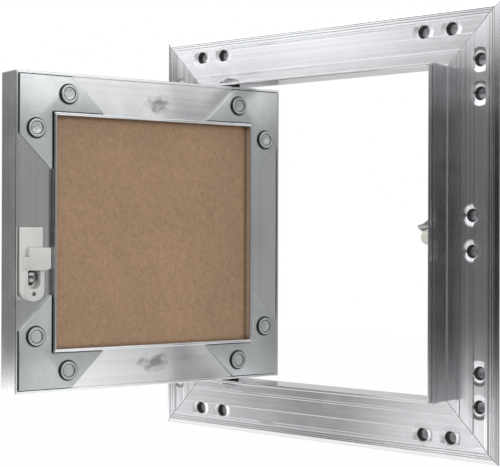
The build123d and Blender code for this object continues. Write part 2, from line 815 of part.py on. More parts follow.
save("pivot_pin_top", pivot_pin())
save("pivot_pin_bottom", mirrored(pivot_pin()))
save("pivot_washer_top", pivot_washer())
save("pivot_washer_bottom", mirrored(pivot_washer()))
save("pivot_bush_top", leaf_open(pivot_bush()))
save("pivot_bush_bottom", leaf_open(mirrored(pivot_bush())))
save("board_core", leaf_open(board_core()))
save("board_back_paper", leaf_open(board_paper(board_back - paper_thickness, board_back)))
save("board_front_paper", leaf_open(board_paper(board_front, board_front + paper_thickness)))
save("strike", leaf_open(strike()))
save("strike_screw", leaf_open(strike_screw()))
save("latch_bracket", latch_bracket())
save("latch_housing", latch_housing())
save("housing_screws", housing_screws())
save("hook_pin", hook_pin())
save("latch_spring", latch_spring())
save("latch_plunger", latch_plunger())
save("latch_hook", latch_hook())
print("hook turns", round(hook_turn, 4), "about", round(hook_y, 3), round(hook_z, 3), "beside", round(hook_left, 3))
print("leaf pivot", round(pivot_x, 3), round(pivot_y, 3), "nose", round(nose_x, 3), round(nose_front, 3))
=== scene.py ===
"""Looks of a drywall access panel that stands open.

Lengths are in metres unless a name ends in _mm. X runs right along the wall, Y into the wall, Z up.
The shut panel's own coordinates are called closed coordinates. The leaf rests open, so everything on
it is made in closed coordinates and then swung about its pivots to where it rests.

In the finishes, a tone is a share of the colour's brightness, a share is how much of a layer shows,
and a scale is the fineness of a noise.
"""

import json
import logging
import math
from dataclasses import dataclass
from enum import Enum

import bmesh
import bpy
from mathutils import Matrix, Vector


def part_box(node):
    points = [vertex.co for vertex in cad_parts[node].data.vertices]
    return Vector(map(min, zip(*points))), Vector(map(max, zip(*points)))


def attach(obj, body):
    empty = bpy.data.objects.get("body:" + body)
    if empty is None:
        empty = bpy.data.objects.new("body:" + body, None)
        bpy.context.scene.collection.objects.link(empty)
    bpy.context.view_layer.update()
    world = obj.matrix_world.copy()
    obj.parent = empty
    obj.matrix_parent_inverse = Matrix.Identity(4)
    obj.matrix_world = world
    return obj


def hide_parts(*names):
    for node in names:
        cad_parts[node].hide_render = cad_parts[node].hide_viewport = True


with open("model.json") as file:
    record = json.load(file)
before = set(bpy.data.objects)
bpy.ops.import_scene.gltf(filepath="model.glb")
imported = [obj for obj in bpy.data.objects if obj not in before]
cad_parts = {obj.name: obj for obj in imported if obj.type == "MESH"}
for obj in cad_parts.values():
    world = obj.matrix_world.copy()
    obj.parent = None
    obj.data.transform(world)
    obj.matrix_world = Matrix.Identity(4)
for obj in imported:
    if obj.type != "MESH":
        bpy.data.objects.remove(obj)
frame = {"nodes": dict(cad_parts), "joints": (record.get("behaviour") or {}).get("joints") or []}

log = logging.getLogger("access_panel")

MM = 0.001
SHARP = math.radians(32)
LEAF_OPEN = 104.0
BEVEL_SEGMENTS = 3
EDGE_SAMPLES = 8
CORNER_SAMPLES = 12
CORNER_RANGE = (0.3, 0.92)
EDGE_RANGE = (0.80, 0.98)
WELD_MM = 0.002
NEAR = 1e-6
APART = 1e-5

Colour = tuple[float, float, float]
Point = tuple[float, float]
Socket = bpy.types.NodeSocket
Feed = Socket | float | tuple | Vector
Shell = bmesh.types.BMesh
Piece = bpy.types.Object


def linear(level: float) -> float:
    """Turn one display level, 0 to 255, into linear light, 0 to 1."""
    share = level / 255
    return share / 12.92 if share <= 0.04045 else ((share + 0.055) / 1.055) ** 2.4


def shade(red: float, green: float, blue: float) -> Colour:
    """Turn display levels, 0 to 255, into a linear colour."""
    return (linear(red), linear(green), linear(blue))


def toned(colour: Colour, share: float) -> Colour:
    """Scale a colour's brightness, and hold each channel at 1."""
    return tuple(min(1.0, share * part) for part in colour)


@dataclass(frozen=True)
class Swing:
    """The turn about an upright axis that takes a shut piece to where it rests."""

    pivot: Point
    degrees: float

    def matrix(self) -> Matrix:
        """Closed coordinates to the place at rest.

        Returns:
            The matrix, for lengths in metres.
        """
        pivot = Vector((*self.pivot, 0.0))
        turn = Matrix.Rotation(math.radians(-self.degrees), 4, "Z")
        return Matrix.Translation(pivot) @ turn @ Matrix.Translation(-pivot)

    def back(self) -> Matrix:
        """The place at rest to closed coordinates."""
        return self.matrix().inverted()


STILL = Swing((0.0, 0.0), 0.0)


class Turned(Enum):
    """What the panel has four of, about its middle: each one's name, then its quarter turns."""

    @property
    def piece(self) -> str:
        """Its name, without a body."""
        return self.value[0]

    @property
    def turn(self) -> Matrix:
        """The turn that takes the first of the four to this one, as the part's own are turned."""
        return Matrix.Rotation(math.radians(90 * self.value[1]), 4, "Y")


class Side(Turned):
    """The four sides of the panel, from the bottom one, with the axis that each rail was drawn along."""

    BOTTOM = ("bottom_rail", 0, "x")
    HINGE = ("hinge_stile", 1, "z")
    TOP = ("top_rail", 2, "x")
    LATCH = ("latch_stile", 3, "z")

    @property
    def run(self) -> str:
        """The axis that the rail was drawn along."""
        return self.value[2]


class Corner(Turned):
    """The four corners of the panel, from the lower hinge corner."""

    BOTTOM_HINGE = ("bottom_hinge", 0)
    TOP_HINGE = ("top_hinge", 1)
    TOP_LATCH = ("top_latch", 2)
    BOTTOM_LATCH = ("bottom_latch", 3)


def turned_point(turn: Matrix, place: Point) -> Point:
    """Turn a place of the panel's face, given as X and Z."""
    found = turn @ Vector((place[0], 0.0, place[1]))
    return (found.x, found.z)


@dataclass
class Skin:
    """What a surface shader gets, while a finish adds its layers one by one."""

    colour: Feed
    rough: Feed
    height_mm: Feed
    metallic: Feed = 0.0


class Recipe:
    """A node tree being put together, of a material or of the world."""

    def __init__(self, owner: bpy.types.Material | bpy.types.World) -> None:
        """Empty the owner's tree.

        Args:
            owner: The material or world.
        """
        self.owner = owner
        self.here: Socket | None = None
        owner.use_nodes = True
        self.tree = owner.node_tree
        self.tree.nodes.clear()

    @classmethod
    def on(cls, name: str, swing: Swing) -> "Recipe":
        """Start a material that reads closed coordinates in millimetres.

        Args:
            name: The material's name.
            swing: The turn that took its piece to where it rests.

        Returns:
            The material's recipe.
        """
        recipe = cls(bpy.data.materials.new(name))
        back = swing.back()
        feeds = {
            "Vector": recipe.node("TexCoord").outputs["Object"],
            "Location": back.to_translation() / MM,
            "Rotation": back.to_euler(),
            "Scale": (1 / MM, 1 / MM, 1 / MM),
        }
        recipe.here = recipe.node("Mapping", feeds, vector_type="POINT").outputs[0]
        return recipe

    def node(self, kind: str, feeds: dict | None = None, **settings: object) -> bpy.types.Node:
        """Add one node.

        Args:
            kind: The node's type without its ShaderNode prefix.
            feeds: What each input gets, by name or number: a socket to link, or a value to set.
            **settings: The node's own settings.

        Returns:
            The new node.
        """
        made = self.tree.nodes.new("ShaderNode" + kind)
        for setting, value in settings.items():
            setattr(made, setting, value)
        for key, value in (feeds or {}).items():
            entry = made.inputs[key]
            if isinstance(value, Socket):
                self.tree.links.new(value, entry)
            else:
                entry.default_value = (*value, 1.0) if entry.type == "RGBA" else value
        return made

    def math(self, operation: str, first: Feed, second: Feed = 0.0) -> Socket:
        """Work out one number from one or two others, by an operation of the Math node."""
        return self.node("Math", {0: first, 1: second}, operation=operation).outputs[0]

    def plus(self, total: Feed, value: Feed, share: float) -> Socket:
        """Add a share of one number to another."""
        return self.node("Math", {0: value, 1: share, 2: total}, operation="MULTIPLY_ADD").outputs[0]

    def spread(self, value: Feed, start: float, end: float, low: float = 0.0, high: float = 1.0) -> Socket:
        """Map a number smoothly from start and end to low and high, and hold it beyond them."""
        feeds = {0: value, 1: start, 2: end, 3: low, 4: high}
        return self.node("MapRange", feeds, interpolation_type="SMOOTHSTEP").outputs[0]

    def band(self, value: Feed, middle: float, full: float, none: float, strength: float = 1.0) -> Socket:
        """Strength round one value of a number: whole as far off as full, and gone as far off as none."""
        off = self.math("ABSOLUTE", self.math("SUBTRACT", value, middle))
        return self.spread(off, full, none, strength, 0.0)

    def noise(self, scale: float, detail: float = 2.0, rough: float = 0.5,
              stretch: tuple[float, ...] = (1.0, 1.0, 1.0)) -> Socket:
        """A soft noise from 0 to 1.

        Args:
            scale: Patches for each millimetre.
            detail: Octaves.
            rough: Strength of the finer octaves.
            stretch: How much each axis is scaled first.

        Returns:
            The noise's socket.
        """
        there = self.node("VectorMath", {0: self.here, 1: stretch}, operation="MULTIPLY").outputs[0]
        feeds = {"Vector": there, "Scale": scale, "Detail": detail, "Roughness": rough}
        return self.node("TexNoise", feeds).outputs[0]

    def blend(self, share: Feed, first: Feed, second: Feed, way: str = "MIX") -> Socket:
        """Mix two colours by a share of the second."""
        return self.node("Mix", {0: share, 6: first, 7: second}, data_type="RGBA", blend_type=way).outputs[2]

    def away(self, place: Point, shape: Point = (1.0, 1.0)) -> Socket:
        """Distance from a place of the panel's face, at any depth.

        Args:
            place: X and Z of the place.
            shape: How much X and Z are scaled first.

        Returns:
            The distance's socket.
        """
        flat = (shape[0], 0.0, shape[1])
        spot = (shape[0] * place[0], 0.0, shape[1] * place[1])
        here = self.node("VectorMath", {0: self.here, 1: flat}, operation="MULTIPLY").outputs[0]
        return self.node("VectorMath", {0: here, 1: spot}, operation="DISTANCE").outputs["Value"]

    def parts(self, vector: Socket) -> bpy.types.NodeOutputs:
        """The X, Y and Z of a coordinate."""
        return self.node("SeparateXYZ", {0: vector}).outputs

    def painted_corner_shade(self, reach_mm: float, darkest: float) -> Socket:
        """Painted shade: brightness that falls towards a narrow corner, where shade falls.

        Args:
            reach_mm: How far the dark reaches out of a corner.
            darkest: Brightness in the tightest corner.

        Returns:
            The brightness's socket.
        """
        feeds = {"Distance": reach_mm * MM}
        clear = self.node("AmbientOcclusion", feeds, samples=CORNER_SAMPLES).outputs["AO"]
        return self.spread(clear, *CORNER_RANGE, darkest, 1.0)

    def worn(self, reach_mm: float) -> Socket:
        """The direction that the surface faces when its sharp edges are rounded within reach."""
        return self.node("Bevel", {"Radius": reach_mm * MM}, samples=EDGE_SAMPLES).outputs[0]

    def rim(self, reach_mm: float) -> Socket:
        """One along sharp edges and nought on open faces.

        Args:
            reach_mm: How far from an edge it reaches.

        Returns:
            The socket.
        """
        true = self.node("NewGeometry").outputs["Normal"]
        agree = self.node("VectorMath", {0: self.worn(reach_mm), 1: true}, operation="DOT_PRODUCT")
        return self.spread(agree.outputs["Value"], *EDGE_RANGE, 1.0, 0.0)

    def finish(self, skin: Skin, edge_mm: float = 0.0, corner_shade_mm: float = 0.0, darkest: float = 1.0,
               **more: Feed) -> bpy.types.Material:
        """Close the material with its surface shader.

        Args:
            skin: Its layers.
            edge_mm: Radius that sharp edges seem to be worn to, or nought.
            corner_shade_mm: Reach of the dark in narrow corners, or nought.
            darkest: Brightness left in the tightest corner.
            **more: Further inputs of the shader, with _ for each space of their names.

        Returns:
            The finished material.
        """
        bump = self.node("Bump", {"Height": skin.height_mm, "Distance": MM, "Strength": 1.0})
        if edge_mm > 0.0:
            self.tree.links.new(self.worn(edge_mm), bump.inputs["Normal"])
        colour = skin.colour
        # Painted shade: the colour is darkened towards narrow corners, recesses and gaps between parts.
        if corner_shade_mm > 0.0:
            dim = self.painted_corner_shade(corner_shade_mm, darkest)
            grey = self.node("CombineColor", {0: dim, 1: dim, 2: dim}).outputs[0]
            colour = self.blend(1.0, colour, grey, "MULTIPLY")
        feeds = {name.replace("_", " "): value for name, value in more.items()}
        feeds |= {"Base Color": colour, "Metallic": skin.metallic, "Roughness": skin.rough,
                  "Normal": bump.outputs[0]}
        surface = self.node("BsdfPrincipled", feeds)
        output = self.node("OutputMaterial", {"Surface": surface.outputs[0]})
        output.is_active_output = True
        return self.owner


@dataclass(frozen=True)
class Aluminium:
    """Mill-finish extruded aluminium: die lines along the rail, soft sheen across it, pits with painted shade
    and highlight, and dark patches.
    """

    name: str
    run: str
    colour: Colour
    roughness: float = 0.18
    pits: tuple[Point, ...] = ()
    pit_mm: float = 2.9
    dark_patches: tuple[Point, ...] = ()
    mitre_mm: float = 0.0
    streak: float = 0.2
    edge_mm: float = 0.32
    corner_shade_mm: float = 0.8
    darkest: float = 0.25
    sheen: float = 0.83

    LINE_ALONG = 0.012
    LINE_ACROSS = 1.9
    LINE_MM = 0.0001
    LINE_TONE = 0.98
    LINE_ROUGH = 0.012
    BAND_SCALE = 0.22
    BAND_MM = 0.0008
    STREAK_TONE = 0.78
    SEAM_TONE = 0.12
    SEAM_SHARE = 0.9
    CLOUD_SCALE = 0.06
    CLOUD_ROUGH = 0.04
    PATCH_SHAPE = (0.1, 0.17)
    PATCH_GRAIN = (0.2, 0.0, 0.3)
    PATCH_RAGGED = 2.0
    PATCH_SHARE = 0.85
    PATCH_TONE = 0.245
    PATCH_ROUGH = 0.2
    PIT_FROM_MM = 0.5
    PIT_RING_MM = 1.95
    PIT_WALL_MM = 2.1
    PIT_HOLLOW_MM = 1.7
    PIT_SLOPE = 0.15
    PIT_FLOOR = shade(170, 171, 174)
    PIT_RING_HIGHLIGHT = shade(225, 227, 230)
    PIT_WALL_SHADE = shade(72, 72, 74)
    PIT_ROUGH = 0.12
    PIT_METALLIC = 0.8
    DISH_FROM_MM = 3.0
    DISH_MM = 7.0
    DISH_ROUGH = 0.1
    FAR_MM = 99.0

    def material(self, swing: Swing) -> bpy.types.Material:
        """Make the material.

        Args:
            swing: The turn that took the piece to where it rests.

        Returns:
            The material.
        """
        recipe = Recipe.on(self.name, swing)
        skin = self.drawn(recipe)
        if self.dark_patches:
            self.darken_patches(recipe, skin)
        if self.pits:
            self.press(recipe, skin)
        across = Vector([0.0 if axis in (self.run, "y") else 1.0 for axis in "xyz"])
        tangent = recipe.node("VectorTransform", {0: swing.matrix().to_3x3() @ across}, vector_type="VECTOR",
                              convert_from="OBJECT", convert_to="WORLD").outputs[0]
        return recipe.finish(skin, self.edge_mm, self.corner_shade_mm, self.darkest, Anisotropic=self.sheen,
                             Tangent=tangent)

    def drawn(self, recipe: Recipe) -> Skin:
        """Fine die lines, broader streaks, and the dark seam of the mitres.

        Args:
            recipe: The material under construction.

        Returns:
            The skin with these layers.
        """
        lined = tuple(self.LINE_ALONG if axis == self.run else self.LINE_ACROSS for axis in "xyz")
        lines = recipe.noise(1.0, 4.0, 0.55, lined)
        bands = recipe.noise(self.BAND_SCALE, stretch=lined)
        cloud = recipe.noise(self.CLOUD_SCALE, 3.0)
        dark = toned(self.colour, self.LINE_TONE)
        colour = recipe.blend(recipe.spread(lines, 0.35, 0.62), dark, self.colour)
        streaks = recipe.spread(bands, 0.36, 0.56, self.streak, 0.0)
        colour = recipe.blend(streaks, colour, toned(dark, self.STREAK_TONE))
        if self.mitre_mm > 0.0:
            place = recipe.parts(recipe.here)
            across = recipe.math("ABSOLUTE", place["X"])
            off = recipe.math("SUBTRACT", across, recipe.math("ABSOLUTE", place["Z"]))
            seam = recipe.band(off, 0.0, 0.0, self.mitre_mm, self.SEAM_SHARE)
            colour = recipe.blend(seam, colour, toned(dark, self.SEAM_TONE))
        smoothest = self.roughness - self.LINE_ROUGH
        rough = recipe.spread(lines, 0.3, 0.7, smoothest, self.roughness + self.LINE_ROUGH)
        rough = recipe.math("ADD", rough, recipe.spread(cloud, 0.4, 0.7, 0.0, self.CLOUD_ROUGH))
        height = recipe.plus(recipe.math("MULTIPLY", lines, self.LINE_MM), bands, self.BAND_MM)
        return Skin(colour, rough, height, 1.0)

    def darken_patches(self, recipe: Recipe, skin: Skin) -> None:
        """Darken ragged patches and make them duller.

        Args:
            recipe: The material under construction.
            skin: The skin that they are laid on.
        """
        ragged = recipe.noise(1.0, 1.5, 0.4, self.PATCH_GRAIN)
        for place in self.dark_patches:
            away = recipe.plus(recipe.away(place, self.PATCH_SHAPE), ragged, self.PATCH_RAGGED)
            mark = recipe.spread(away, 1.05, 2.0, self.PATCH_SHARE, 0.0)
            skin.colour = recipe.blend(mark, skin.colour, toned(self.colour, self.PATCH_TONE))
            skin.rough = recipe.plus(skin.rough, mark, self.PATCH_ROUGH)

    def press(self, recipe: Recipe, skin: Skin) -> None:
        """Paint each clinch pit's wall dark as shade and a bright highlight ring on its floor, give the floor
        a slight hollow, and dull its dish.

        Args:
            recipe: The material under construction.
            skin: The skin that they are pressed in.
        """
        nearest = self.FAR_MM
        for place in self.pits:
            nearest = recipe.math("MINIMUM", nearest, recipe.away(place))
        depth = recipe.spread(recipe.parts(recipe.here)["Y"], self.PIT_FROM_MM, self.PIT_FROM_MM + 0.5)
        inside = recipe.spread(nearest, self.pit_mm, self.pit_mm + 0.3, 1.0, 0.0)
        inside = recipe.math("MULTIPLY", inside, depth)
        # Painted highlight: a bright ring on the pit's floor. Painted shade: the pit's wall darkened.
        floor = recipe.blend(recipe.band(nearest, self.PIT_RING_MM, 0.05, 0.3), self.PIT_FLOOR, self.PIT_RING_HIGHLIGHT)
        wall = recipe.spread(nearest, self.PIT_WALL_MM, self.PIT_WALL_MM + 0.4)
        skin.colour = recipe.blend(inside, skin.colour, recipe.blend(wall, floor, self.PIT_WALL_SHADE))
        skin.rough = recipe.plus(skin.rough, inside, self.PIT_ROUGH)
        dish = recipe.spread(nearest, self.DISH_FROM_MM, self.DISH_MM, self.DISH_ROUGH, 0.0)
        skin.rough = recipe.math("ADD", skin.rough, dish)
        hollow = recipe.math("MINIMUM", nearest, self.PIT_HOLLOW_MM)
        skin.height_mm = recipe.plus(skin.height_mm, hollow, self.PIT_SLOPE)
        skin.metallic = recipe.spread(inside, 0.0, 1.0, 1.0, self.PIT_METALLIC)


@dataclass(frozen=True)
class ZincPlate:
    """Bright zinc on sheared steel: speckle, soft clouds, edges darkened as cut steel and painted edge
    shadow, clinch buttons with painted shadow.
    """

    name: str
    colour: Colour
    buttons: tuple[Point, ...] = ()
    ring_mm: float = 5.9
    collar_mm: float = 4.45
    dimple_mm: float = 2.9
    edge_mm: float = 0.3
    corner_shade_mm: float = 1.1
    darkest: float = 0.08

    SPECKLE_SCALE = 1.4
    SPECKLE_SHARE = 0.55
    SPECKLE_TONE = 0.7
    SPECKLE_MM = 0.012
    CLOUD_SCALE = 0.09
    CLOUD_TONES = (0.95, 1.02)
    EDGE_CUT_AND_SHADE_SHARE = 0.8
    EDGE_CUT_AND_SHADE_TONE = 0.15
    ROUGHNESS = (0.3, 0.44)
    METALLIC = 0.9
    COLLAR_SHARE = 0.97
    DIMPLE_SHARE = 0.75
    TOP_SHARE = 0.06
    BUTTON_SHADOW_TONE = 0.057
    RING_RISE_MM = -0.02
    DENT_SCALE = 0.8
    DENT_MM = 0.3

    def material(self, swing: Swing) -> bpy.types.Material:
        """Make the material.

        Args:
            swing: The turn that took the piece to where it rests.

        Returns:
            The material.
        """
        recipe = Recipe.on(self.name, swing)
        speckle = recipe.noise(self.SPECKLE_SCALE, 4.0, 0.65)
        cloud = recipe.spread(recipe.noise(self.CLOUD_SCALE, 3.0), 0.35, 0.65)
        dark, light = (toned(self.colour, tone) for tone in self.CLOUD_TONES)
        specks = recipe.spread(speckle, 0.54, 0.7, 0.0, self.SPECKLE_SHARE)
        colour = recipe.blend(specks, recipe.blend(cloud, dark, light), toned(dark, self.SPECKLE_TONE))
        # Sharp edges darkened: partly the dark of sheared steel, partly painted shadow along the edges.
        edges = recipe.math("MULTIPLY", recipe.rim(self.edge_mm), self.EDGE_CUT_AND_SHADE_SHARE)
        colour = recipe.blend(edges, colour, toned(dark, self.EDGE_CUT_AND_SHADE_TONE))
        rough = recipe.spread(speckle, 0.3, 0.7, *self.ROUGHNESS)
        skin = Skin(colour, rough, recipe.math("MULTIPLY", speckle, self.SPECKLE_MM), self.METALLIC)
        for place in self.buttons:
            self.press(recipe, place, skin)
        return recipe.finish(skin, 0.0, self.corner_shade_mm, self.darkest)

    def press(self, recipe: Recipe, place: Point, skin: Skin) -> None:
        """Paint shadow round a button's collar and the edge of its dimple and a little over the button, and
        sink the ring that is pressed round it.

        Args:
            recipe: The material under construction.
            place: X and Z of the button.
            skin: The skin that it is pressed in.
        """
        away = recipe.away(place)
        # Painted shadow: dark rings at the collar's foot and the dimple's edge, and a faint darkening of the
        # button.
        collar = recipe.band(away, self.collar_mm, 0.2, 0.6, self.COLLAR_SHARE)
        inner = recipe.band(away, self.dimple_mm, 0.1, 0.4, self.DIMPLE_SHARE)
        whole = recipe.spread(away, self.collar_mm - 0.3, self.collar_mm, self.TOP_SHARE, 0.0)
        button_shadow = recipe.math("MAXIMUM", recipe.math("MAXIMUM", collar, inner), whole)
        skin.colour = recipe.blend(button_shadow, skin.colour, toned(self.colour, self.BUTTON_SHADOW_TONE))
        ring = recipe.band(away, self.ring_mm, 0.0, 0.5)
        skin.height_mm = recipe.plus(skin.height_mm, ring, self.RING_RISE_MM)
        dimple = recipe.spread(away, self.dimple_mm - 0.5, self.dimple_mm, 1.0, 0.0)
        dents = recipe.math("MULTIPLY", recipe.noise(self.DENT_SCALE), dimple)
        skin.height_mm = recipe.plus(skin.height_mm, dents, self.DENT_MM)


@dataclass(frozen=True)
class Steel:
    """Bright plated steel with fine turning or rolling marks."""

    name: str
    colour: Colour
    roughness: float
    corner_shade_mm: float = 1.0
    darkest: float = 0.1

    MARK_SCALE = 3.0
    MARK_TONE = 0.82
    MARK_MM = 0.01

    def material(self, swing: Swing) -> bpy.types.Material:
        """Make the material.

        Args:
            swing: The turn that took the piece to where it rests.

        Returns:
            The material.
        """
        recipe = Recipe.on(self.name, swing)
        marks = recipe.noise(self.MARK_SCALE, 4.0, 0.6)
        dark = toned(self.colour, self.MARK_TONE)
        colour = recipe.blend(recipe.spread(marks, 0.35, 0.65), dark, self.colour)
        rough = recipe.spread(marks, 0.3, 0.7, self.roughness - 0.05, self.roughness + 0.1)
        skin = Skin(colour, rough, recipe.math("MULTIPLY", marks, self.MARK_MM), 1.0)
        return recipe.finish(skin, corner_shade_mm=self.corner_shade_mm, darkest=self.darkest)


@dataclass(frozen=True)
class Plastic:
    """Moulded plastic with a fine spark-eroded skin."""

    name: str
    colour: Colour
    roughness: float = 0.42
    soft: float = 0.08
    soft_mm: float = 0.6
    corner_shade_mm: float = 1.3
    darkest: float = 0.4

    SKIN_SCALE = 4.0
    SKIN_MM = 0.008
    FLOW_SCALE = 0.12
    FLOW_TONE = 0.94

    def material(self, swing: Swing) -> bpy.types.Material:
        """Make the material.

        Args:
            swing: The turn that took the piece to where it rests.

        Returns:
            The material.
        """
        recipe = Recipe.on(self.name, swing)
        eroded = recipe.noise(self.SKIN_SCALE, 3.0)
        flow = recipe.spread(recipe.noise(self.FLOW_SCALE), 0.3, 0.7)
        rough = recipe.spread(eroded, 0.3, 0.7, self.roughness - 0.05, self.roughness + 0.08)
        colour = recipe.blend(flow, toned(self.colour, self.FLOW_TONE), self.colour)
        skin = Skin(colour, rough, recipe.math("MULTIPLY", eroded, self.SKIN_MM))
        return recipe.finish(skin, corner_shade_mm=self.corner_shade_mm, darkest=self.darkest,
                             Subsurface_Weight=self.soft, Subsurface_Scale=self.soft_mm * MM)


@dataclass(frozen=True)
class BoardPaper:
    """Grey-brown or ivory liner paper with pressed fibres and small flecks."""

    name: str
    colour: Colour
    fleck: Colour
    roughness: float = 0.88
    gloss: float = 0.3
    corner_shade_mm: float = 3.0
    darkest: float = 0.35

    CLOUD_SCALE = 0.035
    CLOUD_TONES = (0.95, 1.04)
    FIBRE_SCALE = 0.55
    FIBRE_STRETCH = (1.0, 1.0, 0.8)
    FIBRE_TONES = (0.76, 1.28)
    FIBRE_SHARE = 0.75
    FIBRE_MM = 0.03
    FLECK_SCALE = 0.95
    FLECK_SHARE = 0.5

    def material(self, swing: Swing) -> bpy.types.Material:
        """Make the material.

        Args:
            swing: The turn that took the piece to where it rests.

        Returns:
            The material.
        """
        recipe = Recipe.on(self.name, swing)
        cloud = recipe.spread(recipe.noise(self.CLOUD_SCALE, 3.0), 0.3, 0.7)
        fibre = recipe.noise(self.FIBRE_SCALE, 6.0, 0.85, self.FIBRE_STRETCH)
        dots = recipe.noise(self.FLECK_SCALE, 2.0, 0.4)
        colour = recipe.blend(cloud, *(toned(self.colour, tone) for tone in self.CLOUD_TONES))
        dark, light = (toned(self.colour, tone) for tone in self.FIBRE_TONES)
        colour = recipe.blend(recipe.spread(fibre, 0.48, 0.64, 0.0, self.FIBRE_SHARE), colour, dark)
        colour = recipe.blend(recipe.spread(fibre, 0.33, 0.47, self.FIBRE_SHARE, 0.0), colour, light)
        colour = recipe.blend(recipe.spread(dots, 0.66, 0.76, 0.0, self.FLECK_SHARE), colour, self.fleck)
        skin = Skin(colour, self.roughness, recipe.math("MULTIPLY", fibre, self.FIBRE_MM))
        return recipe.finish(skin, corner_shade_mm=self.corner_shade_mm, darkest=self.darkest,
                             Specular_IOR_Level=self.gloss)


@dataclass(frozen=True)
class Gypsum:
    """Chalky board core with small pores."""

    name: str
    colour: Colour
    roughness: float = 0.95

    GRAIN_SCALE = 0.9
    GRAIN_TONE = 0.86
    GRAIN_MM = 0.12
    PORE_SCALE = 0.7
    PORE_MM = 0.1

    def material(self, swing: Swing) -> bpy.types.Material:
        """Make the material.

        Args:
            swing: The turn that took the piece to where it rests.

        Returns:
            The material.
        """
        recipe = Recipe.on(self.name, swing)
        grain = recipe.noise(self.GRAIN_SCALE, 6.0, 0.7)
        cells = {"Vector": recipe.here, "Scale": self.PORE_SCALE}
        pores = recipe.node("TexVoronoi", cells).outputs["Distance"]
        dark = toned(self.colour, self.GRAIN_TONE)
        colour = recipe.blend(recipe.spread(grain, 0.35, 0.65), dark, self.colour)
        height = recipe.plus(recipe.spread(pores, 0.1, 0.3, 0.0, self.PORE_MM), grain, self.GRAIN_MM)
        return recipe.finish(Skin(colour, self.roughness, height))


def wear(piece: Piece, material: bpy.types.Material) -> None:
    """Give a piece one material, in place of any it had."""
    piece.data.materials.clear()
    piece.data.materials.append(material)


def dress(node: str, material: bpy.types.Material) -> None:
    """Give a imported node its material."""
    wear(frame["nodes"][node], material)
    log.info("dressed %s", node)


@dataclass(frozen=True)
class Lamp:
    """A square soft lamp: where it stands, what it points at, its edge length and its power in watts."""

    name: str
    place: tuple[float, float, float]
    aim: tuple[float, float, float]
    size: float
    power: float

    def build(self) -> None:
        """Hang the lamp, which reflections don't show."""
        data = bpy.data.lights.new(self.name, "AREA")
        data.size = self.size
        data.energy = self.power
        lamp = bpy.data.objects.new(self.name, data)
        bpy.context.scene.collection.objects.link(lamp)
        lamp.visible_glossy = False
        lamp.location = self.place
        lamp.rotation_euler = (Vector(self.aim) - Vector(self.place)).to_track_quat("-Z", "Y").to_euler()


